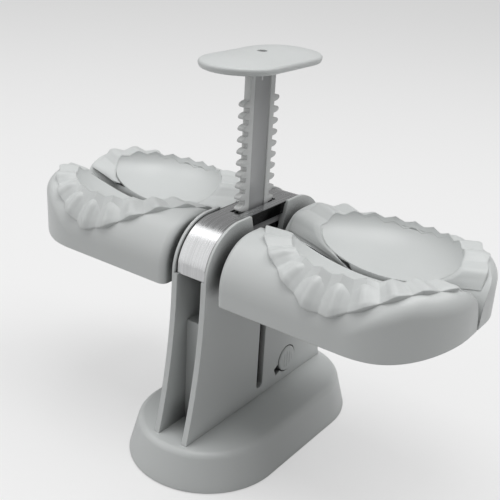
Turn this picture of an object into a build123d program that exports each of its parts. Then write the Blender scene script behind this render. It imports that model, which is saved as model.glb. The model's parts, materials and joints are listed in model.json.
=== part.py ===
from build123d import *
import math
import os

# A press dumpling mold: a column on a rounded base carries two pairs of hinged mold halves.
# Pushing the top plate drives a double rack down between two pinions, and each pinion
# swings one left half and one right half up until their pleated rims meet.
# Axes: X runs along the mold heads, Y across the slit between the halves, Z up.
# The origin lies on the table under the middle of the base.

# Base
base_length = 117.3
base_width = 67.4
base_top_z = 16.3
base_rim_z = 0.5
base_draft = 15.0
base_wall = 2.6
base_top_round = 3.0
foot_radius = 5.0
foot_height = 1.5
foot_x = 15.5
foot_y = 35.5
foot_boss_wall = 1.2

# Column cheeks
cheek_outer_x = 8.6
cheek_wall = 2.6
cheek_lip = 1.2
cheek_foot_half = 49.8
cheek_waist_half = 42.6
cheek_waist_z = 52.0
cheek_proud = 0.7
notch_half = 12.6
notch_floor_half = 9.5
notch_floor_z = 93.0
slot_half = 2.2
slot_low_z = 20.4
slot_high_z = 64.0

# Core block between the cheeks
core_half_depth = 33.6
core_top_z = 63.0
well_half = 5.2
well_floor_z = 20.4
well_wide_floor_z = 57.0
post_radius = 1.9
post_height = 4.5

# Steel strap over the column
strap_top_z = 105.0
strap_half_depth = 39.6
strap_half_width = 7.2
strap_bend_radius = 19.6
strap_sheet = 0.8
strap_low_z = 85.6
strap_tuck = 0.35
strap_crease_height = 4.5
strap_lip_height = 4.6
strap_rod_gap = 1.0
strap_lip_gap = 0.3

# Rod guide block under the strap
guide_low_z = 97.0
guide_half_depth = 15.0
guide_play = 0.25

# Gearing
gear_module = 1.5
pinion_teeth = 13
pressure_angle = 25.0
tooth_backlash = 0.16
root_clearance = 0.375
pinion_half_width = 2.6
pinion_hub_radius = 6.2
hub_end_gap = 0.3
rack_root_half = 8.42
rod_half_thickness = 1.5
rod_channel_half = 5.2
rod_channel_depth = 0.7
rack_low_teeth = 2
rack_high_teeth = 14
rack_tip_round = 0.3

# Shafts, bushes and the mold hubs that turn in them
shaft_z = 85.0
shaft_square = 5.0
shaft_half_length = 32.0
shaft_fit = 0.05
hub_radius = 5.0
bush_wall = 1.4
bush_flange = 0.9
bush_flange_wall = 2.6
hub_play = 0.08

# Stem, guide pin, spring cup and return spring
stem_half = 4.9
stem_low_z = 56.5
pin_z = 61.0
pin_radius = 1.3
pin_inset = 0.4
cup_radius = 4.7
cup_height = 1.6
cup_spigot = 4.0
spring_wire = 1.1
spring_mean_radius = 3.3
spring_turns = 8

# Top plate
plate_half_width = 16.98
plate_half_length = 29.38
plate_top_z = 167.9
plate_thickness = 3.0
plate_dome = 2.3
plate_edge_round = 1.2
plate_boss_wall = 1.6
plate_boss_depth = 2.6
plate_socket_fit = 0.05
plate_rod_cover = 2.3
plate_screw_head = 2.0
plate_screw_shank = 0.9
plate_screw_length = 9.0

# Mold halves
mold_inner_x = 13.2
mold_reach_x = 101.1
mold_corner_radius = 33.0
mold_end_shoulder = 7.5
mold_corner_blend = 6.0
mold_half_width = 40.2
mold_low_z = 78.3
mold_rise_x = 77.0
mold_end_rise = 5.2
mold_wall = 2.4
mold_end_round = 3.0
slit_half = 0.5
slit_step = 1.5
closed_gap = 0.3
bowl_x = 57.75
bowl_radius = 32.2
bowl_depth = 13.6
bowl_headroom = 6.0
rim_wave = 0.8
band_inner_reach = 43.0
band_outer_reach = 40.5
band_side_reach = 39.3
ridge_hem_rise = 1.0
band_knee = 0.62
valley_lift = 0.1
band_depth = 2.2
pleat_count = 12
same_place = 0.01
rib_wall = 1.6
rib_spacing = 16.5
boss_radius = 6.0
grub_radius = 1.5
grub_length = 6.0
grub_x = 24.0

# Lock button
button_y = 20.7
button_z = 26.6
button_radius = 6.1
button_gap = 0.45
button_proud = 0.6
button_travel = 1.5
button_cap = 3.2
button_stem_radius = 2.2
button_stem_length = 3.0
keyhole_length = 9.6
keyhole_width = 4.4
keyhole_angle = 205.0
button_rib = 0.35

# Screws
screw_head_radius = 2.7
screw_head_height = 1.7
screw_radius = 1.45
base_screw_length = 7.0
base_screw_y = (12.0, 27.0)
cheek_screw_y = 28.5
cheek_screw_z = (24.0, 54.0)
cheek_screw_length = 9.0

# Values that follow from those above
tooth_pitch = math.pi * gear_module
pitch_radius = gear_module * pinion_teeth / 2
tip_radius = pitch_radius + gear_module
root_radius = pitch_radius - gear_module - root_clearance
rack_pitch_half = rack_root_half + gear_module + root_clearance
rack_tip_half = rack_pitch_half + gear_module
shaft_y = rack_pitch_half + pitch_radius
cheek_inner_x = cheek_outer_x - cheek_wall
roll_radius = shaft_y - closed_gap / 2
rim_z = shaft_z + roll_radius
body_roll = roll_radius - rim_wave - valley_lift
arch_radius = body_roll
arch_center = mold_half_width - arch_radius
travel = pitch_radius * math.pi / 2
rack_low_z = shaft_z - rack_low_teeth * tooth_pitch
strap_bend_y = strap_half_depth - strap_bend_radius
strap_bend_z = strap_top_z - strap_bend_radius
rod_top_z = plate_top_z - plate_rod_cover
crest_z = shaft_z + arch_radius


def box_between(x0, x1, y0, y1, z0, z1):
    block = Box(x1 - x0, y1 - y0, z1 - z0)
    return Pos((x0 + x1) / 2, (y0 + y1) / 2, (z0 + z1) / 2) * block


def along_x(radius, x0, x1, y, z):
    rod = Cylinder(radius, x1 - x0)
    return Pos((x0 + x1) / 2, y, z) * Rot(0, 90, 0) * rod


def along_z(radius, z0, z1, x, y):
    return Pos(x, y, (z0 + z1) / 2) * Cylinder(radius, z1 - z0)


def slab(face, x0, x1):
    # a section drawn in the YZ plane, made solid from x0 to x1
    return Pos(x0, 0, 0) * extrude(face, amount=x1 - x0, dir=(1, 0, 0))


def half_outline(parts):
    return make_face(Wire([edge for part in parts for edge in part.edges()]))


def fused(solids):
    result = solids[0]
    for solid in solids[1:]:
        result = result + solid
    return result


# Base: a hollow boat-shaped foot with sloping walls

def base_block(length, width, height):
    outline = Rot(0, 0, 90) * SlotOverall(length, width)
    return extrude(outline, amount=height, taper=base_draft)


def foot_places():
    return [(x, y) for x in (-foot_x, foot_x) for y in (-foot_y, foot_y)]


def base_shell():
    height = base_top_z - base_rim_z
    outer = Pos(0, 0, base_rim_z) * base_block(base_length, base_width, height)
    top_edges = outer.edges().group_by(Axis.Z)[-1]
    outer = fillet(top_edges, base_top_round)
    room = base_block(base_length - 2 * base_wall, base_width - 2 * base_wall, height - base_wall)
    shell = outer - Pos(0, 0, base_rim_z) * room
    for x, y in foot_places():
        shell += along_z(foot_radius + foot_boss_wall, foot_height, base_top_z - base_wall, x, y)
    for y in base_screw_y:
        for side in (-1, 1):
            shell -= along_z(screw_radius, base_rim_z, base_top_z, 0, side * y)
    return shell


def rubber_feet():
    return [along_z(foot_radius, 0, foot_height, x, y) for x, y in foot_places()]


# Column: two cheeks, a core block, the steel strap and the rod guide

def cheek_outline(bend):
    # half outline of a cheek: flared foot, waist, shoulder bend and the flat top
    foot = (cheek_foot_half, base_top_z)
    side = (strap_bend_y + bend, strap_bend_z)
    top = (strap_bend_y, strap_bend_z + bend)
    corner = math.sqrt(0.5) * bend
    shoulder = (strap_bend_y + corner, strap_bend_z + corner)
    flare = ThreePointArc(foot, (cheek_waist_half, cheek_waist_z), side)
    lobe = ThreePointArc(side, shoulder, top)
    rest = Polyline(top, (0, top[1]), (0, foot[1]), foot)
    return half_outline((flare, lobe, rest))


def cheek_face(bend):
    half = Plane.YZ * cheek_outline(bend)
    return half + mirror(half, about=Plane.XZ)


def notch_face(inset, low, high):
    # the slanted notch between the two shoulders, or what fits into it with this gap
    slope = (notch_half - notch_floor_half) / (strap_top_z - notch_floor_z)
    low_half = notch_floor_half + (low - notch_floor_z) * slope - inset
    high_half = notch_floor_half + (high - notch_floor_z) * slope - inset
    return Plane.YZ * Polygon(
        (-low_half, low), (low_half, low), (high_half, high), (-high_half, high), align=None)


def cheek_blank():
    # the outer lip stands proud of the strap, the inner ledge carries it
    outer = slab(cheek_face(strap_bend_radius + cheek_proud), cheek_outer_x - cheek_lip, cheek_outer_x)
    inner = slab(cheek_face(strap_bend_radius + cheek_proud), cheek_inner_x, cheek_outer_x - cheek_lip)
    half_seat = Plane.YZ * strap_half_section(strap_sheet)
    ledge = slab(half_seat, cheek_inner_x, cheek_outer_x - cheek_lip)
    ledge += mirror(ledge, about=Plane.XZ)
    reach = 2 * strap_half_depth
    above = box_between(cheek_inner_x, cheek_outer_x, -reach, reach, strap_low_z, 2 * strap_top_z)
    body = outer + (inner - above) + ledge
    body -= slab(notch_face(0, notch_floor_z, strap_top_z + 2 * cheek_proud), 0, 2 * cheek_outer_x)
    middle = (slot_low_z + slot_high_z) / 2
    slot = Rot(0, 0, 90) * SlotOverall(slot_high_z - slot_low_z, 2 * slot_half)
    slot = Plane.YZ * Pos(0, middle) * slot
    body -= slab(slot, 0, 2 * cheek_outer_x)
    for side in (-1, 1):
        body -= along_x(hub_radius + bush_wall, 0, 2 * cheek_outer_x, side * shaft_y, shaft_z)
    return body


def keyhole(x0, x1, margin):
    hole = along_x(button_radius + margin, x0, x1, button_y, button_z)
    tail = Plane.YZ * Pos(button_y, button_z) * Rot(0, 0, keyhole_angle) * Pos(keyhole_length / 2, 0) \
        * Rectangle(keyhole_length, keyhole_width)
    return hole + slab(tail, x0, x1)


def right_cheek():
    return cheek_blank() - keyhole(0, 2 * cheek_outer_x, button_gap)


def cheek_screw_places():
    return [(side * cheek_screw_y, z) for side in (-1, 1) for z in cheek_screw_z]


def left_cheek():
    body = mirror(cheek_blank(), about=Plane.YZ)
    for y, z in cheek_screw_places():
        body -= along_x(screw_radius, -2 * cheek_outer_x, 0, y, z)
        body -= along_x(screw_head_radius, -2 * cheek_outer_x, -cheek_outer_x + screw_head_height, y, z)
    return body


def column_core():
    inner = cheek_inner_x
    block = box_between(-inner, inner, -core_half_depth, core_half_depth, base_top_z, core_top_z)
    wide_half = rack_tip_half + guide_play
    block -= box_between(-inner, inner, -well_half, well_half, well_floor_z, core_top_z)
    block -= box_between(-inner, inner, -wide_half, wide_half, well_wide_floor_z, core_top_z)
    block += along_z(post_radius, well_floor_z, well_floor_z + post_height, 0, 0)
    pocket = cheek_inner_x - button_cap - button_travel - button_gap
    block -= along_x(button_radius + button_gap, pocket, inner, button_y, button_z)
    stem_end = pocket - button_stem_length
    block -= along_x(button_stem_radius + button_gap, stem_end, pocket, button_y, button_z)
    for y in base_screw_y:
        for side in (-1, 1):
            block -= along_z(screw_radius, base_top_z, base_top_z + base_screw_length, 0, side * y)
    for y, z in cheek_screw_places():
        block -= along_x(screw_radius, -inner, -inner + cheek_screw_length, y, z)
    return block


def strap_half_section(inset):
    # half of the strap's outline: lower edge, straight tucked part, shoulder bend, flat top
    bend = strap_bend_radius - inset
    turn = math.asin((strap_low_z + strap_crease_height - strap_bend_z) / strap_bend_radius)
    middle = (turn + math.pi / 2) / 2
    low = (strap_half_depth - inset - strap_tuck, strap_low_z)
    crease = (strap_bend_y + bend * math.cos(turn), strap_bend_z + bend * math.sin(turn))
    shoulder = (strap_bend_y + bend * math.cos(middle), strap_bend_z + bend * math.sin(middle))
    top = (strap_bend_y, strap_bend_z + bend)
    side = Line(low, crease)
    arc = ThreePointArc(crease, shoulder, top)
    rest = Polyline(top, (0, top[1]), (0, low[1]), low)
    return half_outline((side, arc, rest))


def top_strap():
    outer = Plane.YZ * strap_half_section(0)
    inner = Plane.YZ * strap_half_section(strap_sheet)
    half = outer - inner
    sheet = slab(half, -strap_half_width, strap_half_width)
    sheet += mirror(sheet, about=Plane.XZ)
    gap_x = rod_half_thickness + strap_rod_gap
    gap_y = rack_tip_half + strap_rod_gap
    floor = strap_top_z - 2 * strap_sheet
    sheet -= box_between(-gap_x, gap_x, -gap_y, gap_y, floor, strap_top_z)
    low = strap_top_z - strap_lip_height
    lip = slab(notch_face(strap_lip_gap, low, strap_top_z - strap_sheet),
               strap_half_width - strap_sheet, strap_half_width)
    return sheet + lip + mirror(lip, about=Plane.YZ)


def rod_guide():
    top = strap_top_z - strap_sheet
    block = box_between(-cheek_inner_x, cheek_inner_x, -guide_half_depth, guide_half_depth, guide_low_z, top)
    gap_x = rod_half_thickness + guide_play
    gap_y = rack_tip_half + guide_play
    block -= box_between(-gap_x, gap_x, -gap_y, gap_y, guide_low_z, top)
    return block


def screw_along_z(head_z, x, y, length):
    # head below, shank pointing up
    head = along_z(screw_head_radius, head_z - screw_head_height, head_z, x, y)
    return head + along_z(screw_radius, head_z, head_z + length, x, y)


def base_screws():
    seat = base_top_z - base_wall
    return [screw_along_z(seat, 0, side * y, base_screw_length) for y in base_screw_y for side in (-1, 1)]


def cheek_screws():
    result = []
    for y, z in cheek_screw_places():
        seat = -cheek_outer_x + screw_head_height
        head = along_x(screw_head_radius, -cheek_outer_x, seat, y, z)
        shank = along_x(screw_radius, seat, -cheek_inner_x + cheek_screw_length, y, z)
        result.append(head + shank)
    return result


def shaft_bushes():
    result = []
    for side in (-1, 1):
        for face in (-1, 1):
            sleeve = along_x(hub_radius + bush_wall, cheek_inner_x, cheek_outer_x, side * shaft_y, shaft_z)
            flange_end = cheek_outer_x + bush_flange
            flange = along_x(hub_radius + bush_flange_wall, cheek_outer_x, flange_end, side * shaft_y, shaft_z)
            bore = along_x(hub_radius + hub_play, 0, 2 * cheek_outer_x, side * shaft_y, shaft_z)
            bush = sleeve + flange - bore
            result.append(bush if face > 0 else mirror(bush, about=Plane.YZ))
    return result


# Plunger: rack rod, pin, spring cup, plate and screw

def rack_tooth(z, side):
    # straight-flanked tooth with its tip corners taken off
    slope = math.tan(math.radians(pressure_angle))
    half = tooth_pitch / 4 - tooth_backlash / 2
    root = half + (gear_module + root_clearance) * slope
    tip = half - gear_module * slope
    shoulder = rack_tip_half - rack_tip_round
    shoulder_half = tip + rack_tip_round * slope
    points = [
        (rack_root_half - rod_channel_depth, -root), (rack_root_half, -root), (shoulder, -shoulder_half),
        (rack_tip_half, rack_tip_round - tip), (rack_tip_half, tip - rack_tip_round),
        (shoulder, shoulder_half), (rack_root_half, root), (rack_root_half - rod_channel_depth, root)]
    face = Plane.YZ * Polygon(*[(side * y, z + w) for y, w in points], align=None)
    return slab(face, -rod_half_thickness, rod_half_thickness)


def rack_rod():
    thick = rod_half_thickness
    rod = box_between(-thick, thick, -rack_root_half, rack_root_half, rack_low_z, rod_top_z)
    stem = box_between(-thick, thick, -stem_half, stem_half, stem_low_z, rack_low_z)
    channel_top = plate_top_z - plate_thickness - 2 * plate_boss_depth
    for side in (-1, 1):
        inner = side * (thick - rod_channel_depth)
        outer = side * thick
        rod -= box_between(
            min(inner, outer), max(inner, outer), -rod_channel_half, rod_channel_half,
            rack_low_z + tooth_pitch, channel_top)
    rod += stem
    rod -= along_x(pin_radius, -thick, thick, 0, pin_z)
    rod -= along_z(plate_screw_shank, rod_top_z - plate_screw_length, rod_top_z, 0, 0)
    teeth = [
        rack_tooth(shaft_z + (step + 0.5) * tooth_pitch, side)
        for side in (-1, 1) for step in range(-rack_low_teeth, rack_high_teeth)]
    return rod + teeth


def guide_pin():
    reach = cheek_outer_x - pin_inset
    return along_x(pin_radius, -reach, reach, 0, pin_z)


def spring_cup():
    disc = along_z(cup_radius, stem_low_z - cup_height, stem_low_z, 0, 0)
    spigot = along_z(post_radius, stem_low_z - cup_height - cup_spigot, stem_low_z - cup_height, 0, 0)
    return disc + spigot


def spring_place(turn):
    # point of the helix after this many turns, and the way it runs there
    low = well_floor_z + spring_wire / 2
    high = stem_low_z - cup_height - spring_wire / 2
    climb = (high - low) / spring_turns
    angle = 2 * math.pi * turn
    point = Vector(spring_mean_radius * math.cos(angle), spring_mean_radius * math.sin(angle), low + climb * turn)
    way = Vector(-math.sin(angle), math.cos(angle), climb / (2 * math.pi * spring_mean_radius))
    return point, way.normalized()


def spring_arcs():
    # each half turn is two arcs that meet smoothly, so the wire has no corner
    arcs = []
    for step in range(2 * spring_turns):
        start, start_way = spring_place(step / 2)
        end, end_way = spring_place((step + 1) / 2)
        chord = end - start
        spread = 2 * (1 - start_way.dot(end_way))
        lean = chord.dot(start_way + end_way)
        arm = (math.sqrt(lean ** 2 + spread * chord.dot(chord)) - lean) / spread
        joint = (start + start_way * arm + end - end_way * arm) / 2
        across = (end - end_way * arm) - (start + start_way * arm)
        arcs.append(Edge.make_tangent_arc(start, start_way, joint))
        arcs.append(Edge.make_tangent_arc(joint, across.normalized(), end))
    return arcs


def spring_gap():
    # least distance between points three quarters of a turn or more apart, less the wire
    per_arc = 4
    samples = [arc @ (step / per_arc) for arc in spring_arcs() for step in range(per_arc)]
    apart = 3 * per_arc
    gaps = [
        (samples[first] - samples[second]).length - spring_wire
        for first in range(len(samples)) for second in range(first + apart, len(samples))]
    return min(gaps)


def return_spring():
    path = Wire(spring_arcs())
    profile = Plane(origin=path @ 0, z_dir=path % 0) * Circle(spring_wire / 2)
    print("return spring: least gap between its turns", round(spring_gap(), 3), "mm")
    return sweep(profile, path=path)


def plate_half_section():
    # domed top and underside with a rounded edge, from the middle out to one side
    radius = (plate_half_width ** 2 + plate_dome ** 2) / (2 * plate_dome)
    lean = math.asin(plate_half_width / radius)
    middle_z = plate_top_z - radius

    def on_dome(reach, turn):
        return (reach * math.sin(turn), middle_z + reach * math.cos(turn))

    inner = radius - plate_thickness
    upper = ThreePointArc(on_dome(radius, 0), on_dome(radius, lean / 2), on_dome(radius, lean))
    edge = Line(on_dome(radius, lean), on_dome(inner, lean))
    lower = ThreePointArc(on_dome(inner, lean), on_dome(inner, lean / 2), on_dome(inner, 0))
    face = half_outline((upper, edge, lower, Line(on_dome(inner, 0), on_dome(radius, 0))))
    return Plane.XZ * fillet(face.vertices().group_by(Axis.X)[-1] + face.vertices().group_by(Axis.X)[-2],
                             plate_edge_round)


def plate_blank():
    # one section, drawn out along the plate and turned round both ends
    half = plate_half_section()
    straight = plate_half_length - plate_half_width
    bar = extrude(half, amount=straight, both=True)
    end = Pos(0, straight, 0) * revolve(half, axis=Axis.Z, revolution_arc=180)
    return bar + mirror(bar, about=Plane.YZ) + end + mirror(end, about=Plane.XZ)


def press_handle():
    plate = plate_blank()
    under = plate_top_z - plate_thickness
    wall = plate_boss_wall
    boss_x = rod_half_thickness + wall
    boss_y = rack_root_half + wall
    boss = box_between(-boss_x, boss_x, -boss_y, boss_y, under - plate_boss_depth, plate_top_z - plate_thickness / 2)
    plate += boss
    fit = plate_socket_fit
    half_x = rod_half_thickness + fit
    half_y = rack_root_half + fit
    plate -= box_between(-half_x, half_x, -half_y, half_y, 0, rod_top_z)
    head_floor = plate_top_z - plate_thickness / 3
    plate -= along_z(plate_screw_head + fit, head_floor, plate_top_z, 0, 0)
    plate -= along_z(plate_screw_shank + fit, rod_top_z, plate_top_z, 0, 0)
    return plate


def handle_screw():
    floor = plate_top_z - plate_thickness / 3
    head = along_z(plate_screw_head, floor, floor + plate_thickness / 6, 0, 0)
    low = rod_top_z - plate_screw_length + plate_socket_fit
    return head + along_z(plate_screw_shank, low, floor, 0, 0)


# Pinions and shafts

def involute_point(radius, half_angle_at_pitch, side):
    # a point of the flank at this radius, for a tooth that points along the first axis
    base = pitch_radius * math.cos(math.radians(pressure_angle))
    def roll(value):
        angle = math.acos(min(1, base / value))
        return math.tan(angle) - angle
    turn = half_angle_at_pitch + roll(pitch_radius) - roll(max(radius, base))
    return (radius * math.cos(turn), side * radius * math.sin(turn))


def pinion_tooth():
    half = (tooth_pitch / 4 - tooth_backlash / 2) / pitch_radius
    radii = [root_radius - root_clearance, root_radius, (root_radius + pitch_radius) / 2, pitch_radius,
             (pitch_radius + tip_radius) / 2, tip_radius]
    right = [involute_point(radius, half, -1) for radius in radii]
    left = [involute_point(radius, half, 1) for radius in reversed(radii)]
    return Polygon(*right, *left, align=None)


def pinion(side):
    # the tooth at rest that points at the rack fits the rack's gap at shaft height
    disc = Circle(root_radius)
    for step in range(pinion_teeth):
        angle = step * 360 / pinion_teeth + (180 if side > 0 else 0)
        disc += Rot(0, 0, angle) * pinion_tooth()
    place = Pos(0, side * shaft_y, shaft_z)
    wheel = place * slab(Plane.YZ * disc, -pinion_half_width, pinion_half_width)
    hub_reach = hub_inner_end() - hub_end_gap
    wheel += along_x(pinion_hub_radius, -hub_reach, hub_reach, side * shaft_y, shaft_z)
    return wheel - shaft_bore(side, -cheek_outer_x, cheek_outer_x)


def hub_inner_end():
    return cheek_inner_x - bush_flange


def shaft_bore(side, x0, x1):
    half = shaft_square / 2 + shaft_fit
    return box_between(x0, x1, side * shaft_y - half, side * shaft_y + half, shaft_z - half, shaft_z + half)


def square_shaft(side):
    half = shaft_square / 2
    return box_between(
        -shaft_half_length, shaft_half_length, side * shaft_y - half, side * shaft_y + half,
        shaft_z - half, shaft_z + half)


# Mold halves: drawn once on the right, in front of the slit, with the outside towards -Y

def arch_face(inset):
    # across the head: upright outside wall, arched shoulder, flat crest up to the slit plane
    half = mold_half_width - inset
    radius = arch_radius - inset
    low = mold_low_z
    corner = math.sqrt(0.5) * radius
    outside = Line((0, low), (-half, low))
    wall = Line((-half, low), (-half, shaft_z))
    shoulder = ThreePointArc((-half, shaft_z), (-arch_center - corner, shaft_z + corner),
                             (-arch_center, shaft_z + radius))
    crest = Polyline((-arch_center, shaft_z + radius), (0, shaft_z + radius), (0, low))
    return half_outline((outside, wall, shoulder, crest))


def end_block(inset, inner_x):
    # upright block: plan corner and top edge are rounded at its outer end
    half = mold_half_width - inset
    reach = mold_reach_x - inset
    corner = mold_corner_radius - inset
    diagonal = math.sqrt(0.5) * corner
    side = Line((inner_x, -half), (reach - corner, -half))
    turn = ThreePointArc((reach - corner, -half), (reach - corner + diagonal, corner - half - diagonal),
                         (reach, corner - half))
    rest = Polyline((reach, corner - half), (reach, 0), (inner_x, 0), (inner_x, -half))
    block = Pos(0, 0, mold_low_z) * extrude(half_outline((side, turn, rest)), amount=crest_z - inset - mold_low_z)
    rims = [
        edge for edge in block.edges().group_by(Axis.Z)[-1]
        if edge.center().X > inner_x + same_place and edge.center().Y < -same_place]
    return fillet(rims, mold_end_shoulder - inset)


def loaf(inset, inner_x):
    # the arch runs the whole length, the block closes it with a tighter shoulder
    return end_block(inset, inner_x) & slab(Plane.YZ * arch_face(inset), inner_x, mold_reach_x)


def end_rise():
    # what is taken off below, where the lower edge curves up towards the outer end
    run = mold_reach_x - mold_rise_x
    radius = (run ** 2 + mold_end_rise ** 2) / (2 * mold_end_rise)
    below = box_between(mold_rise_x, mold_reach_x + run, -2 * mold_half_width, 0,
                        mold_low_z - mold_end_rise, mold_low_z + 2 * mold_end_rise)
    wheel = Rot(90, 0, 0) * Cylinder(radius, 5 * mold_half_width)
    return below - Pos(mold_rise_x, 0, mold_low_z + radius) * wheel


def slit_side(roll, clearance, low):
    # everything on the outer side of the slit: upright below the shaft, rolled round it above
    reach = 2 * mold_half_width
    corner = math.sqrt(0.5) * roll
    near = -(shaft_y - roll)
    start = Polyline((-reach, low), (-clearance, low), (-clearance, shaft_z - slit_step), (near, shaft_z))
    curve = ThreePointArc((near, shaft_z), (-shaft_y + corner, shaft_z + corner), (-shaft_y, shaft_z + roll))
    end = Polyline((-shaft_y, shaft_z + roll), (-reach, shaft_z + roll), (-reach, low))
    return slab(Plane.YZ * half_outline((start, curve, end)), 0, 2 * mold_reach_x)


def bowl_tool(radius, depth):
    # half an egg shape, upright above the rim
    top = rim_z + bowl_headroom
    arc = EllipticalCenterArc((0, rim_z), radius, depth, start_angle=270, arc_size=90)
    sides = Polyline((radius, rim_z), (radius, top), (0, top), (0, rim_z - depth))
    face = half_outline((arc, sides))
    return Pos(bowl_x, 0, 0) * revolve(Plane.XZ * face, axis=Axis.Z)


def rolled_height(outward, radius):
    # height of a face that is flat beyond the shaft and rolled round it nearer the slit
    side = max(shaft_y - outward, 0)
    return shaft_z + math.sqrt(max(radius ** 2 - side ** 2, 0))


def skin_height(x, outward, lift):
    # height of the body with a layer of this thickness on it: arch, end shoulder or rolled face
    side = max(outward - arch_center, 0)
    arch = shaft_z + math.sqrt(max((arch_radius + lift) ** 2 - side ** 2, 0))
    past_corner = max(x - mold_reach_x + mold_corner_radius, 0)
    beside_corner = max(outward - mold_half_width + mold_corner_radius, 0)
    inside = mold_corner_radius - math.hypot(past_corner, beside_corner)
    over = max(mold_end_shoulder - inside, 0)
    end = crest_z - mold_end_shoulder + math.sqrt(max((mold_end_shoulder + lift) ** 2 - over ** 2, 0))
    return min(arch, end, rolled_height(outward, body_roll + lift))


def rim_reach(turn):
    # how far from its middle the bowl's wall meets the rolled face
    drop = rim_z - rolled_height(bowl_radius * math.sin(turn), roll_radius)
    return bowl_radius * math.sqrt(1 - (drop / bowl_depth) ** 2) - rim_wave


def pleat_section(angle, ridge):
    # one cut through the pleated band, from the bowl's rim over its knee down to its outer hem
    turn = math.radians(angle)
    along = band_outer_reach if angle < 90 else band_inner_reach
    start = rim_reach(turn)
    inner = Vector(bowl_x + start * math.cos(turn), start * math.sin(turn))
    hem = Vector(bowl_x + along * math.cos(turn), band_side_reach * math.sin(turn))
    knee = inner + (hem - inner) * band_knee
    rise = 2 * rim_wave if ridge else 0
    hem_rise = ridge_hem_rise if ridge else 0
    hem_height = skin_height(hem.X, hem.Y, valley_lift) + hem_rise
    tops = [
        (inner, rolled_height(inner.Y, roll_radius - rim_wave) + rise),
        (knee, skin_height(knee.X, knee.Y, valley_lift) + rise),
        (hem, hem_height)]
    lows = [
        (hem, hem_height - band_depth / 2),
        (knee, skin_height(knee.X, knee.Y, 0) - band_depth),
        (inner, skin_height(inner.X, inner.Y, 0) - band_depth)]
    points = [(place.X, -place.Y, height) for place, height in tops + lows]
    return Wire.make_polygon([Vector(*point) for point in points], close=True)


def pleated_band(first_is_ridge):
    half_pitch = 90 / pleat_count
    sections = []
    for step in range(1, 2 * pleat_count):
        ridge = (step % 2 == 0) == first_is_ridge
        sections.append(pleat_section(step * half_pitch, ridge))
    return Solid.make_loft(sections, ruled=True)


def mold_underside():
    # the hollow below: body and bowl walls all round, ribs across it
    room = loaf(mold_wall, mold_inner_x + mold_wall)
    room = room & slit_side(body_roll - mold_wall, slit_half + mold_wall, mold_low_z)
    room -= bowl_tool(bowl_radius + mold_wall, bowl_depth + mold_wall)
    room -= along_x(boss_radius, mold_inner_x, shaft_half_length + mold_wall, -shaft_y, shaft_z)
    high = 2 * rim_z
    end = mold_reach_x
    half = rib_wall / 2
    room -= box_between(mold_inner_x, end, -shaft_y - half, -shaft_y + half, mold_low_z, high)
    for step in range(int((end - mold_inner_x) / rib_spacing)):
        x = mold_inner_x + (step + 1) * rib_spacing
        room -= box_between(x - half, x + half, -mold_half_width, 0, mold_low_z, high)
    return room


def mold_half(first_is_ridge):
    body = loaf(0, mold_inner_x)
    body = fillet(body.edges().filter_by(GeomType.BSPLINE), mold_corner_blend)
    end_edges = [
        edge for edge in body.edges()
        if abs(edge.center().X - mold_inner_x) < same_place and abs(edge.center().Y) > same_place
        and edge.center().Z > mold_low_z + same_place]
    body = fillet(end_edges, mold_end_round)
    body = body & slit_side(body_roll, slit_half, mold_low_z)
    body = body + pleated_band(first_is_ridge)
    body -= bowl_tool(bowl_radius, bowl_depth)
    body -= mold_underside()
    body -= end_rise()
    body += along_x(hub_radius, hub_inner_end(), mold_inner_x, -shaft_y, shaft_z)
    body += along_x(boss_radius, mold_inner_x, shaft_half_length + mold_wall, -shaft_y, shaft_z) \
        & box_between(0, mold_reach_x, -mold_half_width, 0, mold_low_z, rim_z)
    body -= shaft_bore(-1, 0, shaft_half_length + shaft_fit)
    body -= along_z(grub_radius, 0, shaft_z, grub_x, -shaft_y)
    return body


def grub_screws(side):
    top = shaft_z - shaft_square / 2
    return [along_z(grub_radius, top - grub_length, top, x, side * shaft_y) for x in (-grub_x, grub_x)]


# Lock button

def lock_button():
    outer = cheek_outer_x + button_proud
    cap = along_x(button_radius, outer - button_cap, outer, button_y, button_z)
    stem = along_x(button_stem_radius, outer - button_cap - button_stem_length, outer - button_cap,
                   button_y, button_z)
    grips = []
    for step in (-1, 0, 1):
        y = button_y + step * button_radius / 3
        grips.append(box_between(outer, outer + button_rib, y - button_rib, y + button_rib,
                                 button_z - button_radius / 2, button_z + button_radius / 2))
    return fused([cap, stem, *grips])


def whole_model():
    front_a = mold_half(False)
    rear_b = mirror(mold_half(True), about=Plane.XZ)
    half_turn = Rot(0, 0, 180)
    return {
        "base_shell": base_shell(),
        "rubber_feet": rubber_feet(),
        "left_cheek": left_cheek(),
        "right_cheek": right_cheek(),
        "column_core": column_core(),
        "top_strap": top_strap(),
        "rod_guide": rod_guide(),
        "base_screws": base_screws(),
        "cheek_screws": cheek_screws(),
        "shaft_bushes": shaft_bushes(),
        "return_spring": return_spring(),
        "rack_rod": rack_rod(),
        "guide_pin": guide_pin(),
        "spring_cup": spring_cup(),
        "press_handle": press_handle(),
        "handle_screw": handle_screw(),
        "front_pinion": pinion(-1),
        "rear_pinion": pinion(1),
        "front_shaft": square_shaft(-1),
        "rear_shaft": square_shaft(1),
        "right_front_mold": front_a,
        "right_rear_mold": rear_b,
        "left_front_mold": half_turn * rear_b,
        "left_rear_mold": half_turn * front_a,
        "front_grub_screws": grub_screws(-1),
        "rear_grub_screws": grub_screws(1),
        "lock_button": lock_button(),
    }


os.makedirs("parts", exist_ok=True)
for name, shape in whole_model().items():
    solid = Compound(children=shape) if isinstance(shape, list) else shape
    export_step(solid, f"parts/{name}.step")
print("plunger travel", round(travel, 2), "mm")
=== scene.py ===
import json
import math
import bpy
import numpy as np
from mathutils import Matrix, Vector


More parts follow.
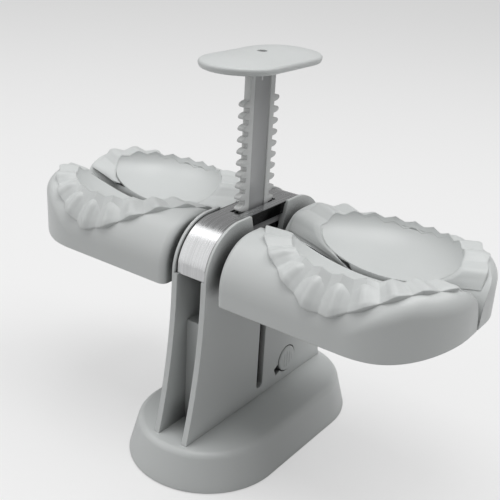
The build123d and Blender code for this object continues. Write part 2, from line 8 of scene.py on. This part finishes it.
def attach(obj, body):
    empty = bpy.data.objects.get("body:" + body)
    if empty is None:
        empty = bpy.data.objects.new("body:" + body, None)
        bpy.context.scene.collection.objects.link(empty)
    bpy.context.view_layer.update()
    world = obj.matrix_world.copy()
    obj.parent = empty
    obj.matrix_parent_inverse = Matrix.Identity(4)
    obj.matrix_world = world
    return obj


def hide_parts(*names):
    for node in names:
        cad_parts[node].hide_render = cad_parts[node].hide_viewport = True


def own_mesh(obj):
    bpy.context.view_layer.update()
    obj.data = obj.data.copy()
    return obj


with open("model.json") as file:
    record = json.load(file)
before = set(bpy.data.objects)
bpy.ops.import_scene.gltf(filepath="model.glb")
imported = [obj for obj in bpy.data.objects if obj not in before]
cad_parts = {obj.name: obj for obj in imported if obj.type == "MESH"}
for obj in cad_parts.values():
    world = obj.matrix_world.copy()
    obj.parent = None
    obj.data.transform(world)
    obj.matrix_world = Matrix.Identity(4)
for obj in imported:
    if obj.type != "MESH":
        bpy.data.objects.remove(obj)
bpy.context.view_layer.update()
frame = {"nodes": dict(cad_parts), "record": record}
print("frame loaded:", len(frame["nodes"]), "CAD nodes")


# shader building

def newMaterial(name):
    mat = bpy.data.materials.new(name)
    mat.use_nodes = True
    mat.node_tree.nodes.clear()
    return mat, mat.node_tree


def addNode(tree, kind, links=None, **settings):
    # one node with its settings; links is a dict of input name to output socket or plain value
    node = tree.nodes.new(kind)
    for key, value in settings.items():
        setattr(node, key, value)
    for key, value in (links or {}).items():
        socket = node.inputs[key]
        if isinstance(value, bpy.types.NodeSocket):
            tree.links.new(value, socket)
        else:
            socket.default_value = value
    return node


def newGroup(name, inputs, outputs):
    group = bpy.data.node_groups.new(name, "ShaderNodeTree")
    for label, kind, value in inputs:
        socket = group.interface.new_socket(label, in_out="INPUT", socket_type=kind)
        socket.default_value = value
    for label, kind in outputs:
        group.interface.new_socket(label, in_out="OUTPUT", socket_type=kind)
    return group, addNode(group, "NodeGroupInput"), addNode(group, "NodeGroupOutput")


def swingAround(group, given, out, pattern):
    # a pattern about its middle as a tone around 1 and a roughness around the given one
    centred = addNode(group, "ShaderNodeMath", {0: pattern, 1: 0.5}, operation="SUBTRACT")
    swing = addNode(group, "ShaderNodeMath", {
        0: centred.outputs[0], 1: given.outputs["tone"], 2: 1.0}, operation="MULTIPLY_ADD")
    rough = addNode(group, "ShaderNodeMath", {
        0: centred.outputs[0], 1: given.outputs["spread"], 2: given.outputs["roughness"]},
        operation="MULTIPLY_ADD")
    group.links.new(swing.outputs[0], out.inputs["shade"])
    group.links.new(rough.outputs[0], out.inputs["rough"])


def makeMouldSkin():
    # moulded plastic: a faint cloud of tone and gloss, and a fine eggshell grain
    group, given, out = newGroup(
        "mouldSkin",
        [("grainScale", "NodeSocketFloat", 900.0), ("cloudScale", "NodeSocketFloat", 22.0),
         ("tone", "NodeSocketFloat", 0.03), ("roughness", "NodeSocketFloat", 0.35),
         ("spread", "NodeSocketFloat", 0.08)],
        [("shade", "NodeSocketFloat"), ("rough", "NodeSocketFloat"), ("height", "NodeSocketFloat")])
    where = addNode(group, "ShaderNodeTexCoord").outputs["Object"]
    cloud = addNode(group, "ShaderNodeTexNoise", {
        "Vector": where, "Scale": given.outputs["cloudScale"], "Detail": 3.0, "Roughness": 0.55})
    grain = addNode(group, "ShaderNodeTexNoise", {
        "Vector": where, "Scale": given.outputs["grainScale"], "Detail": 2.0, "Roughness": 0.5})
    swingAround(group, given, out, cloud.outputs["Fac"])
    group.links.new(grain.outputs["Fac"], out.inputs["height"])
    return group


def makeBrushLines():
    # brushed metal: noise stretched along the given way, as streaks of tone, gloss and depth
    group, given, out = newGroup(
        "brushLines",
        [("stretch", "NodeSocketVector", (1.0, 1.0, 1.0)), ("tone", "NodeSocketFloat", 0.1),
         ("roughness", "NodeSocketFloat", 0.25), ("spread", "NodeSocketFloat", 0.15)],
        [("shade", "NodeSocketFloat"), ("rough", "NodeSocketFloat"), ("height", "NodeSocketFloat")])
    where = addNode(group, "ShaderNodeTexCoord").outputs["Object"]
    scaled = addNode(group, "ShaderNodeVectorMath", {0: where, 1: given.outputs["stretch"]},
                     operation="MULTIPLY")
    lines = addNode(group, "ShaderNodeTexNoise", {
        "Vector": scaled.outputs[0], "Scale": 1.0, "Detail": 4.0, "Roughness": 0.6})
    swingAround(group, given, out, lines.outputs["Fac"])
    group.links.new(lines.outputs["Fac"], out.inputs["height"])
    return group


def makeCreviceShade():
    # painted shade: narrow gaps and recesses are darkened, the more so with less open room around the point
    group, given, out = newGroup(
        "creviceShade",
        [("reach", "NodeSocketFloat", 0.01), ("darkest", "NodeSocketFloat", 0.3),
         ("openAt", "NodeSocketFloat", 0.7)],
        [("shade", "NodeSocketFloat")])
    room = addNode(group, "ShaderNodeAmbientOcclusion", {"Distance": given.outputs["reach"]}, samples=6)
    shade = addNode(group, "ShaderNodeMapRange", {
        "Value": room.outputs["AO"], "From Min": 0.08, "From Max": given.outputs["openAt"],
        "To Min": given.outputs["darkest"], "To Max": 1.0}, interpolation_type="SMOOTHSTEP")
    group.links.new(shade.outputs[0], out.inputs["shade"])
    return group


mouldSkin = makeMouldSkin()
brushLines = makeBrushLines()
creviceShade = makeCreviceShade()


def tinted(tree, shade, color):
    # the plain colour times the pattern's shade
    grey = addNode(tree, "ShaderNodeCombineColor", {"Red": shade, "Green": shade, "Blue": shade})
    mix = addNode(tree, "ShaderNodeMix", data_type="RGBA", blend_type="MULTIPLY")
    mix.inputs[0].default_value = 1.0
    if isinstance(color, bpy.types.NodeSocket):
        tree.links.new(color, mix.inputs[6])
    else:
        mix.inputs[6].default_value = (*color, 1.0)
    tree.links.new(grey.outputs[0], mix.inputs[7])
    return mix.outputs[2]


def shaded(tree, shade, look):
    # a pattern's shade times the painted crevice shade
    crevice = addNode(tree, "ShaderNodeGroup", node_tree=creviceShade)
    for key in ("reach", "darkest", "openAt"):
        crevice.inputs[key].default_value = look[key]
    both = addNode(tree, "ShaderNodeMath", {0: shade, 1: crevice.outputs["shade"]}, operation="MULTIPLY")
    return both.outputs[0]


def channelShadeColor(tree, look):
    # painted shade: the rod's sunk channel is coloured greyer than its pale flanges, standing in for the
    # shadow in the channel
    where = addNode(tree, "ShaderNodeTexCoord").outputs["Object"]
    parts = addNode(tree, "ShaderNodeSeparateXYZ", {0: where})
    side = addNode(tree, "ShaderNodeMath", {0: parts.outputs["Y"]}, operation="ABSOLUTE")
    inside = addNode(tree, "ShaderNodeMapRange", {
        "Value": side.outputs[0], "From Min": look["channelHalf"] - look["channelBlur"],
        "From Max": look["channelHalf"] + look["channelBlur"], "To Min": 1.0, "To Max": 0.0})
    mix = addNode(tree, "ShaderNodeMix", data_type="RGBA")
    tree.links.new(inside.outputs[0], mix.inputs[0])
    mix.inputs[6].default_value = (*look["color"], 1.0)
    mix.inputs[7].default_value = (*look["channelShadeColor"], 1.0)
    return mix.outputs[2]


def makePlastic(name, look):
    mat, tree = newMaterial(name)
    skin = addNode(tree, "ShaderNodeGroup", node_tree=mouldSkin)
    for key in ("grainScale", "cloudScale", "tone", "roughness", "spread"):
        skin.inputs[key].default_value = look[key]
    soft = addNode(tree, "ShaderNodeBevel", {"Radius": look["edgeRadius"]}, samples=6)
    bump = addNode(tree, "ShaderNodeBump", {
        "Height": skin.outputs["height"], "Normal": soft.outputs[0],
        "Strength": look["grainStrength"], "Distance": look["grainDepth"]})
    color = channelShadeColor(tree, look) if "channelShadeColor" in look else look["color"]
    body = addNode(tree, "ShaderNodeBsdfPrincipled", {
        "Base Color": tinted(tree, shaded(tree, skin.outputs["shade"], look), color),
        "Roughness": skin.outputs["rough"], "Normal": bump.outputs[0],
        "Specular IOR Level": look["specular"], "Subsurface Weight": look["softness"],
        "Subsurface Radius": (0.004, 0.004, 0.004), "Subsurface Scale": 0.3})
    addNode(tree, "ShaderNodeOutputMaterial", {"Surface": body.outputs[0]})
    return mat


def edgeGapShade(tree, shade, look):
    # painted shade: the strap's two long edges are darkened, standing in for the shadowed gap beside the
    # cheeks
    where = addNode(tree, "ShaderNodeTexCoord").outputs["Object"]
    parts = addNode(tree, "ShaderNodeSeparateXYZ", {0: where})
    side = addNode(tree, "ShaderNodeMath", {0: parts.outputs["X"]}, operation="ABSOLUTE")
    gapShade = addNode(tree, "ShaderNodeMapRange", {
        "Value": side.outputs[0], "From Min": look["darkFrom"],
        "From Max": look["darkFrom"] + look["seamBlur"], "To Min": 1.0, "To Max": look["seamShade"]})
    both = addNode(tree, "ShaderNodeMath", {0: shade, 1: gapShade.outputs[0]}, operation="MULTIPLY")
    return both.outputs[0]


def makeSteel(name, look):
    mat, tree = newMaterial(name)
    lines = addNode(tree, "ShaderNodeGroup", node_tree=brushLines)
    for key in ("stretch", "tone", "roughness", "spread"):
        lines.inputs[key].default_value = look[key]
    soft = addNode(tree, "ShaderNodeBevel", {"Radius": look["edgeRadius"]}, samples=4)
    bump = addNode(tree, "ShaderNodeBump", {
        "Height": lines.outputs["height"], "Normal": soft.outputs[0],
        "Strength": look["lineStrength"], "Distance": look["lineDepth"]})
    shade = shaded(tree, lines.outputs["shade"], look)
    # painted shade along the strap's long edges, for the gap beside the cheeks
    if "darkFrom" in look:
        shade = edgeGapShade(tree, shade, look)
    body = addNode(tree, "ShaderNodeBsdfPrincipled", {
        "Base Color": tinted(tree, shade, look["color"]), "Metallic": 1.0,
        "Roughness": lines.outputs["rough"], "Normal": bump.outputs[0]})
    addNode(tree, "ShaderNodeOutputMaterial", {"Surface": body.outputs[0]})
    return mat


plasticLooks = {
    "whitePlastic": {"color": (0.655, 0.675, 0.67), "grainScale": 1400.0, "cloudScale": 25.0,
                     "tone": 0.05, "roughness": 0.34, "spread": 0.10, "edgeRadius": 0.0005,
                     "grainStrength": 0.12, "grainDepth": 0.0001, "specular": 0.5, "softness": 0.05,
                     "reach": 0.014, "darkest": 0.06, "openAt": 0.62},
    # the rod's channel colour is painted shade for its sunk channel
    "rodPlastic": {"color": (0.66, 0.67, 0.665), "channelShadeColor": (0.40, 0.405, 0.41),
                   "channelHalf": 0.0052,
                   "channelBlur": 0.00015,
                   "darkest": 0.4, "grainScale": 1600.0, "cloudScale": 40.0,
                   "tone": 0.08, "roughness": 0.24, "spread": 0.10, "edgeRadius": 0.0004,
                   "grainStrength": 0.08, "grainDepth": 0.0001, "specular": 0.5, "softness": 0.0,
                   "reach": 0.006, "openAt": 0.55},
    "greyPlastic": {"color": (0.30, 0.30, 0.305), "grainScale": 1200.0, "cloudScale": 60.0,
                    "tone": 0.10, "roughness": 0.48, "spread": 0.12, "edgeRadius": 0.0003,
                    "grainStrength": 0.2, "grainDepth": 0.0001, "specular": 0.4, "softness": 0.0,
                    "reach": 0.01, "darkest": 0.15, "openAt": 0.6},
    "rubberPad": {"color": (0.09, 0.09, 0.095), "grainScale": 700.0, "cloudScale": 80.0,
                  "tone": 0.20, "roughness": 0.75, "spread": 0.15, "edgeRadius": 0.0004,
                  "grainStrength": 0.4, "grainDepth": 0.0002, "specular": 0.3, "softness": 0.0,
                  "reach": 0.006, "darkest": 0.3, "openAt": 0.6},
}
steelLooks = {
    "brushedStrap": {"color": (0.60, 0.605, 0.61), "stretch": (1500.0, 35.0, 35.0), "tone": 0.62,
                     "darkFrom": 0.0066, "seamBlur": 0.00025, "seamShade": 0.06, "roughness": 0.24,
                     "spread": 0.30, "edgeRadius": 0.0002,
                     "lineStrength": 0.15, "lineDepth": 0.00005, "reach": 0.006, "darkest": 0.2,
                     "openAt": 0.5},
    "plainSteel": {"color": (0.56, 0.56, 0.565), "stretch": (700.0, 300.0, 300.0), "tone": 0.12,
                   "roughness": 0.32, "spread": 0.16, "edgeRadius": 0.00015,
                   "lineStrength": 0.2, "lineDepth": 0.00005, "reach": 0.008, "darkest": 0.15, "openAt": 0.6},
    "copperWire": {"color": (0.55, 0.27, 0.16), "stretch": (500.0, 500.0, 1500.0), "tone": 0.2,
                   "roughness": 0.34, "spread": 0.14, "edgeRadius": 0.0001,
                   "lineStrength": 0.2, "lineDepth": 0.00005, "reach": 0.008, "darkest": 0.15, "openAt": 0.6},
}
materials = {name: makePlastic(name, look) for name, look in plasticLooks.items()}
materials.update({name: makeSteel(name, look) for name, look in steelLooks.items()})
print("materials made:", len(materials))

slotMaterials = {
    "white_plastic": "whitePlastic", "rod_grey": "rodPlastic", "grey_plastic": "greyPlastic",
    "steel_sheet": "brushedStrap", "plain_steel": "plainSteel", "copper_wire": "copperWire",
    "rubber": "rubberPad",
}


def dressNodes():
    for part in frame["record"]["subparts"]:
        node = frame["nodes"][part["node"]]
        mat = materials[slotMaterials[part["material_slot"]]]
        for slot in node.material_slots:
            slot.material = mat


dressNodes()
print("CAD nodes dressed")


# new pieces, worked out in millimetres and put into the mesh in metres

def makePiece(name, points, faces, material, body, sharpAngle=40.0):
    mesh = bpy.data.meshes.new(name)
    mesh.from_pydata((points * 0.001).tolist(), [], faces)
    mesh.polygons.foreach_set("use_smooth", np.ones(len(mesh.polygons), bool))
    mesh.set_sharp_from_angle(angle=math.radians(sharpAngle))
    mesh.materials.append(materials[material])
    mesh.validate()
    piece = bpy.data.objects.new(name, mesh)
    bpy.context.scene.collection.objects.link(piece)
    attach(piece, body)
    return piece


def tubeFaces(rings, around, flip):
    # quads between closed rings of points, and one cap at each end
    ring = np.arange(around)
    after = (ring + 1) % around
    start = np.arange(rings - 1)[:, None] * around
    quads = np.stack([start + ring, start + after, start + around + after, start + around + ring], -1)
    quads = quads.reshape(-1, 4)
    caps = [ring[::-1], (rings - 1) * around + ring]
    if flip:
        quads = quads[:, ::-1]
        caps = [cap[::-1] for cap in caps]
    return quads.tolist() + [cap.tolist() for cap in caps]


pleatLook = {
    "bowlX": 57.75, "bowlRadius": 32.2, "bowlDepth": 13.6, "rimZ": 104.895, "shaftY": 20.045,
    "shaftZ": 85.0, "rollRadius": 19.095, "archRadius": 18.995, "archCenter": 21.205,
    "halfWidth": 40.2, "cornerRadius": 33.0, "endX": 101.1, "endShoulder": 7.5, "crestZ": 103.995,
    "lift": 0.1, "innerReach": 43.0, "outerReach": 40.5, "sideReach": 39.3,
    "rimRise": 1.6, "hemRise": 1.6, "extraRise": 0.7, "freeFrom": 22.5, "freeAt": 28.5,
    "cover": 0.05, "hemCover": 0.3, "hemSpread": 0.45, "hemScallop": 0.7, "pitch": 15.0,
    "firstAngle": 7.2, "lastAngle": 172.8, "turnSteps": 331, "acrossSteps": 30,
    "settleSteps": 8, "sideSpread": 0.35, "rimRounding": 0.3, "hemRounding": 0.25, "sink": 0.5,
    "innerWall": ((0.5, 0.3), (0.45, -0.02), (0.2, -0.02), (0.05, -0.02))}  # depth below the edge, inset


def smoothStep(value, low, high):
    t = np.clip((value - low) / (high - low), 0, 1)
    return t * t * (3 - 2 * t)


def skinHeight(x, outward):
    # height of a mold half without pleats: the lowest of its arch, its end shoulder and its rolled face
    look = pleatLook
    side = np.maximum(outward - look["archCenter"], 0)
    arch = look["shaftZ"] + np.sqrt(np.maximum((look["archRadius"] + look["lift"]) ** 2 - side ** 2, 0))
    past = np.maximum(x - look["endX"] + look["cornerRadius"], 0)
    beside = np.maximum(outward - look["halfWidth"] + look["cornerRadius"], 0)
    over = np.maximum(look["endShoulder"] - look["cornerRadius"] + np.hypot(past, beside), 0)
    end = look["crestZ"] - look["endShoulder"] + np.sqrt(
        np.maximum((look["endShoulder"] + look["lift"]) ** 2 - over ** 2, 0))
    inner = np.maximum(look["shaftY"] - outward, 0)
    rolled = look["shaftZ"] + np.sqrt(np.maximum(look["rollRadius"] ** 2 - inner ** 2, 0))
    return np.minimum(np.minimum(arch, end), rolled)


def bowlReach(height):
    # how far out the bowl's wall is at a height: a half ellipsoid with an upright wall above its rim
    drop = np.clip(pleatLook["rimZ"] - height, 0, pleatLook["bowlDepth"] * 0.98)
    return pleatLook["bowlRadius"] * np.sqrt(1 - (drop / pleatLook["bowlDepth"]) ** 2)


def pleatedBand(name, xSide, ySide, ridgeShift, body):
    # grid over the angle round the bowl and the way from its rim to the hem; each ridge is a
    # rounded wave that lifts the skin, upright at the rim and square to the skin further out
    look = pleatLook
    turn = np.radians(np.linspace(look["firstAngle"], look["lastAngle"], look["turnSteps"]))[:, None]
    pleat = (np.degrees(turn) - ridgeShift) / look["pitch"]
    u = np.abs(pleat - np.round(pleat)) * 2  # 0 on a ridge, 1 in a valley
    wave = np.maximum((1 + np.cos(np.pi * u)) / 2, 1 - u)
    across = (1 - np.cos(np.pi * np.linspace(0, 1, look["acrossSteps"])))[None, :] / 2
    start = np.full_like(turn, look["bowlRadius"])
    for _ in range(look["settleSteps"]):  # settles on where the bowl's wall meets the ridged rim
        rim = skinHeight(look["bowlX"] + start * np.cos(turn), start * np.sin(turn))
        start = bowlReach(rim + look["rimRise"] * wave + look["cover"])
    along = np.where(np.cos(turn) > 0, look["outerReach"], look["innerReach"])
    spread = look["hemSpread"] + look["hemScallop"] * wave
    hemX = (along + spread) * np.cos(turn)
    hemY = (look["sideReach"] + spread * look["sideSpread"]) * np.sin(turn)
    x = look["bowlX"] + start * np.cos(turn) * (1 - across) + hemX * across
    y = start * np.sin(turn) * (1 - across) + hemY * across
    skin = np.stack([x, y, skinHeight(x, y)], -1)
    normal = np.cross(np.gradient(skin, axis=1), np.gradient(skin, axis=0))
    normal /= np.linalg.norm(normal, axis=-1, keepdims=True)
    normal *= np.sign(normal[..., 2:3])
    lean = smoothStep(across, 0.0, 0.2)[..., None]
    way = normal * lean + np.array([0.0, 0.0, 1.0]) * (1 - lean)
    free = smoothStep(y, look["freeFrom"], look["freeAt"])
    rise = look["rimRise"] + (look["hemRise"] - look["rimRise"]) * smoothStep(across, 0.6, 1.0)
    plateau = smoothStep(across, 0.0, 0.45) * (1 - 0.5 * smoothStep(across, 0.85, 1.0))
    rise = rise + free * look["extraRise"] * plateau
    cover = look["cover"] + (look["hemCover"] - look["cover"]) * smoothStep(across, 0.7, 1.0) * free
    rounding = look["rimRounding"] * np.clip(1 - across / 0.03, 0, 1) ** 2
    rounding = rounding + look["hemRounding"] * np.clip((across - 0.985) / 0.015, 0, 1) ** 2
    top = skin + way * (rise * wave + cover - rounding)[..., None]
    edge = top[:, :1, 2]
    innerWall = []
    for depth, inset in look["innerWall"]:
        height = edge - depth
        reach = bowlReach(height) + inset
        innerWall.append(np.concatenate(
            [look["bowlX"] + reach * np.cos(turn), reach * np.sin(turn), height], -1)[:, None, :])
    hem = skin[:, -1:, :]
    sunk = hem - normal[:, -1:, :] * look["sink"] - np.array([0.0, 0.0, 0.4])
    under = innerWall[0] * 0.75 + sunk * 0.25
    under[..., 2] -= 0.6
    loop = np.concatenate([*innerWall, top, sunk, under], 1)
    points = loop.reshape(-1, 3) * np.array([xSide, ySide, 1.0])
    faces = tubeFaces(loop.shape[0], loop.shape[1], flip=xSide * ySide < 0)
    return makePiece(name, points, faces, "whitePlastic", body, 60.0)


pleatPlaces = {  # side in x, side in y, angle of the first ridge, body
    "rightFrontPleats": (1, -1, 7.5, "front_molds"), "rightRearPleats": (1, 1, 0.0, "rear_molds"),
    "leftFrontPleats": (-1, -1, 0.0, "front_molds"), "leftRearPleats": (-1, 1, 7.5, "rear_molds")}
for name, place in pleatPlaces.items():
    pleatedBand(name, *place)
print("pleated bands made:", len(pleatPlaces))


rodLook = {
    "thick": 1.5, "rootHalf": 8.42, "toothHeight": 3.375, "toothHalf": 1.35, "pitch": 4.712,
    "lowestTooth": -2, "highestTooth": 14, "shaftZ": 85.0, "channelHalf": 5.2, "channelDepth": 0.7,
    "rackLow": 75.576, "channelLow": 80.3, "channelHigh": 159.6, "stemHalf": 4.9, "stemLow": 56.5,
    "top": 165.6, "edge": 0.3}


def toothedRod():
    # one ring of points round the rod at each height; the ring's two ends move out at the teeth,
    # whose outline is a superellipse, and its flat faces step in along the channel
    look = rodLook
    middles = look["shaftZ"] + (np.arange(look["lowestTooth"], look["highestTooth"]) + 0.5) * look["pitch"]
    share = np.sin(np.linspace(-np.pi / 2, np.pi / 2, 25))
    heights = (middles[:, None] + share * look["toothHalf"]).ravel()
    steps = [look["stemLow"], look["rackLow"] - 0.01, look["rackLow"], look["channelLow"] - 0.3,
             look["channelLow"], look["channelHigh"], look["channelHigh"] + 0.3, look["top"]]
    z = np.sort(np.concatenate([heights, steps]))[:, None]
    offset = np.abs(z - middles[None, :]).min(1, keepdims=True) / look["toothHalf"]
    tooth = look["toothHeight"] * np.sqrt(np.clip(1 - np.clip(offset, 0, 1) ** 2.2, 0, 1))
    reach = np.where(z < look["rackLow"], look["stemHalf"], look["rootHalf"]) + tooth
    cut = look["channelDepth"] * np.clip(np.minimum(
        (z - look["channelLow"]) / 0.3 + 1, (look["channelHigh"] - z) / 0.3 + 1), 0, 1)
    edge, thick, half = look["edge"], look["thick"], look["channelHalf"]
    flat = np.ones_like(z)
    ys = [-reach, -reach + edge * 0.3, -reach + edge,
          -flat * (half + 0.4), -flat * (half + 0.15), -flat * half, -flat * (half - 0.15),
          flat * (half - 0.15), flat * half, flat * (half + 0.15), flat * (half + 0.4),
          reach - edge, reach - edge * 0.3, reach]
    xs = [flat * (thick - edge), flat * (thick - edge * 0.3), flat * thick, flat * thick, thick - cut * 0.12,
          thick - cut * 0.85, thick - cut, thick - cut, thick - cut * 0.85, thick - cut * 0.12, flat * thick,
          flat * thick, flat * (thick - edge * 0.3), flat * (thick - edge)]
    stemRows = (z < look["rackLow"]).ravel()
    ring = np.stack([np.concatenate(xs + [-v for v in xs[::-1]], 1),
                     np.concatenate(ys + ys[::-1], 1),
                     np.repeat(z, 2 * len(xs), 1)], -1)
    ring[stemRows, :, 1] = np.clip(ring[stemRows, :, 1], -look["stemHalf"], look["stemHalf"])
    faces = tubeFaces(ring.shape[0], ring.shape[1], flip=False)
    rod = makePiece("toothedRod", ring.reshape(-1, 3), faces, "rodPlastic", "plunger", 35.0)
    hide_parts("rack_rod")


toothedRod()
print("toothed rod made")


springLook = {"lowZ": 20.4, "highZ": 54.9, "meanRadius": 3.3, "wire": 1.1, "turns": 8,
              "stepsPerTurn": 40, "around": 12, "travel": 15.4}


def coiledSpring():
    # a wire carried along a helix: rings of points in the plane square to the helix's way
    look = springLook
    half = look["wire"] / 2
    share = np.linspace(0, 1, look["turns"] * look["stepsPerTurn"] + 1)[:, None]
    angle = 2 * np.pi * look["turns"] * share
    climb = look["highZ"] - look["lowZ"] - look["wire"]
    middle = np.concatenate([look["meanRadius"] * np.cos(angle), look["meanRadius"] * np.sin(angle),
                             look["lowZ"] + half + climb * share], 1)
    outward = np.concatenate([np.cos(angle), np.sin(angle), np.zeros_like(angle)], 1)
    way = np.concatenate([-np.sin(angle), np.cos(angle), np.full_like(
        angle, climb / (2 * np.pi * look["meanRadius"] * look["turns"]))], 1)
    way /= np.linalg.norm(way, axis=1, keepdims=True)
    upward = np.cross(outward, way)
    spin = np.linspace(0, 2 * np.pi, look["around"], endpoint=False)[None, :, None]
    ring = middle[:, None] + half * (np.cos(spin) * outward[:, None] + np.sin(spin) * upward[:, None])
    faces = tubeFaces(ring.shape[0], look["around"], flip=True)
    spring = makePiece("coiledSpring", ring.reshape(-1, 3), faces, "copperWire",
                       "column", 60.0)
    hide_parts("return_spring")
    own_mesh(spring)


coiledSpring()
print("return spring made")


buttonLook = {"y": 20.7, "z": 26.6, "radius": 6.1, "outer": 9.2, "inner": 6.0, "edge": 0.7,
              "stemRadius": 2.2, "stemInner": 3.0, "ridgeHeight": 0.32, "ridgePitch": 2.0,
              "ridgeReach": 4.0, "centre": 0.05, "faceRings": 28}


def lockButton():
    # a turned knob: rings of points at each radius, its face lifted by soft upright ridges
    look = buttonLook
    spin = np.linspace(0, 2 * np.pi, 96, endpoint=False)[None, :]
    fall = np.linspace(0, np.pi / 2, 9)
    faceRadii = np.linspace(look["centre"], look["radius"] - look["edge"], look["faceRings"])
    roundRadii = look["radius"] - look["edge"] * (1 - np.sin(fall[1:]))
    radii = np.concatenate([faceRadii, roundRadii, [
        look["radius"], look["stemRadius"], look["stemRadius"], look["centre"]]])
    xs = np.concatenate([np.full(look["faceRings"], look["outer"]),
                         look["outer"] - look["edge"] * (1 - np.cos(fall[1:])),
                         [look["inner"], look["inner"], look["stemInner"], look["stemInner"]]])
    y = radii[:, None] * np.cos(spin)
    z = radii[:, None] * np.sin(spin)
    within = 1 - smoothStep(np.hypot(y * 0.9, z), look["ridgeReach"] - 0.8, look["ridgeReach"] + 0.4)
    ridges = look["ridgeHeight"] * (0.5 + 0.5 * np.cos(2 * np.pi * y / look["ridgePitch"])) * within
    facing = (np.arange(len(radii)) < look["faceRings"])[:, None]
    x = xs[:, None] + ridges * facing
    points = np.stack([x, look["y"] + y, look["z"] + z], -1).reshape(-1, 3)
    faces = tubeFaces(len(radii), spin.shape[1], flip=True)
    knob = makePiece("ridgedButton", points, faces, "whitePlastic", "button", 45.0)
    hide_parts("lock_button")


lockButton()
print("lock button made")


# floor, lamps and camera

stageLook = {"glowShare": 0.5, "floorColor": (0.80, 0.80, 0.80), "bounceColor": (0.42, 0.42, 0.42),
             "floorSize": 6.0, "worldColor": (1.0, 1.0, 1.0), "worldStrength": 0.32}


def makeStage():
    mesh = bpy.data.meshes.new("floor")
    half = stageLook["floorSize"] / 2
    mesh.from_pydata([(-half, -half, 0), (half, -half, 0), (half, half, 0), (-half, half, 0)],
                     [], [(0, 1, 2, 3)])
    floor = bpy.data.objects.new("floor", mesh)
    bpy.context.scene.collection.objects.link(floor)
    mat, tree = newMaterial("floorPaper")
    path = addNode(tree, "ShaderNodeLightPath")
    seen = addNode(tree, "ShaderNodeMix", data_type="RGBA")  # pale to the eye, darker as a bounce
    tree.links.new(path.outputs["Is Diffuse Ray"], seen.inputs[0])
    seen.inputs[6].default_value = (*stageLook["floorColor"], 1.0)
    seen.inputs[7].default_value = (*stageLook["bounceColor"], 1.0)
    body = addNode(tree, "ShaderNodeBsdfPrincipled", {
        "Base Color": seen.outputs[2], "Roughness": 0.9, "Specular IOR Level": 0.1})
    glow = addNode(tree, "ShaderNodeEmission", {"Color": (1.0, 1.0, 1.0, 1.0), "Strength": 1.0})
    share = addNode(tree, "ShaderNodeMath", {
        0: path.outputs["Is Camera Ray"], 1: stageLook["glowShare"]}, operation="MULTIPLY")
    pale = addNode(tree, "ShaderNodeMixShader", {0: share.outputs[0], 1: body.outputs[0], 2: glow.outputs[0]})
    addNode(tree, "ShaderNodeOutputMaterial", {"Surface": pale.outputs[0]})
    mesh.materials.append(mat)


def makeWorld():
    world = bpy.data.worlds.new("studio")
    world.use_nodes = True
    tree = world.node_tree
    tree.nodes.clear()
    path = addNode(tree, "ShaderNodeLightPath")
    seen = addNode(tree, "ShaderNodeMath", {
        0: path.outputs["Is Camera Ray"], 1: path.outputs["Is Transmission Ray"]}, operation="MAXIMUM")
    strength = addNode(tree, "ShaderNodeMix", data_type="FLOAT")
    tree.links.new(seen.outputs[0], strength.inputs[0])
    strength.inputs[2].default_value = stageLook["worldStrength"]
    strength.inputs[3].default_value = 1.0
    back = addNode(tree, "ShaderNodeBackground", {
        "Color": (*stageLook["worldColor"], 1.0), "Strength": strength.outputs[0]})
    addNode(tree, "ShaderNodeOutputWorld", {"Surface": back.outputs[0]})
    bpy.context.scene.world = world


lampLooks = {
    "keyPanel": {"place": (-0.737, -0.737, 0.576), "aim": (0.0, 0.0, 0.09), "size": 1.1, "watts": 3.0},
    "sidePanel": {"place": (-0.728, -0.128, 0.971), "aim": (0.0, 0.0, 0.09), "size": 0.45, "watts": 1.2},
    "rightPanel": {"place": (0.571, 0.330, 1.032), "aim": (0.0, 0.0, 0.09), "size": 0.7, "watts": 4.2},
    "topPanel": {"place": (0.0, -0.04, 1.239), "aim": (0.0, 0.0, 0.09), "size": 0.7, "watts": 4.8},
}


def makeLamps():
    for name, look in lampLooks.items():
        data = bpy.data.lights.new(name, "AREA")
        data.shape = "SQUARE"
        data.size = look["size"]
        data.energy = look["watts"]
        lamp = bpy.data.objects.new(name, data)
        bpy.context.scene.collection.objects.link(lamp)
        way = Vector(look["aim"]) - Vector(look["place"])
        aimed = way.to_track_quat("-Z", "Y").to_matrix().to_4x4()
        lamp.matrix_world = Matrix.Translation(look["place"]) @ aimed


cameraLook = {"place": (0.18907, -0.26747, 0.22603), "azimuth": 35.331, "elevation": 23.331,
              "roll": 3.216, "focalPixels": 847.45, "pictureSize": 500}


def makeCamera():
    # looks from the azimuth and elevation towards the object, then turned by the roll
    turn, lift, roll = (math.radians(cameraLook[key]) for key in ("azimuth", "elevation", "roll"))
    back = np.array([math.sin(turn) * math.cos(lift), -math.cos(turn) * math.cos(lift), math.sin(lift)])
    level = np.array([math.cos(turn), math.sin(turn), 0.0])
    upright = np.cross(back, level)
    right = level * math.cos(roll) + upright * math.sin(roll)
    up = upright * math.cos(roll) - level * math.sin(roll)
    data = bpy.data.cameras.new("photoCamera")
    data.sensor_width = 36.0
    data.sensor_fit = "HORIZONTAL"
    data.lens = cameraLook["focalPixels"] * data.sensor_width / cameraLook["pictureSize"]
    data.clip_start = 0.01
    camera = bpy.data.objects.new("photoCamera", data)
    bpy.context.scene.collection.objects.link(camera)
    camera.matrix_world = Matrix(
        [[right[i], up[i], back[i], cameraLook["place"][i]] for i in range(3)] + [[0, 0, 0, 1]])
    bpy.context.scene.camera = camera


makeStage()
makeWorld()
makeLamps()
makeCamera()
bpy.context.scene.view_settings.view_transform = "Standard"
print("stage, lamps and camera set")

bpy.context.view_layer.update()
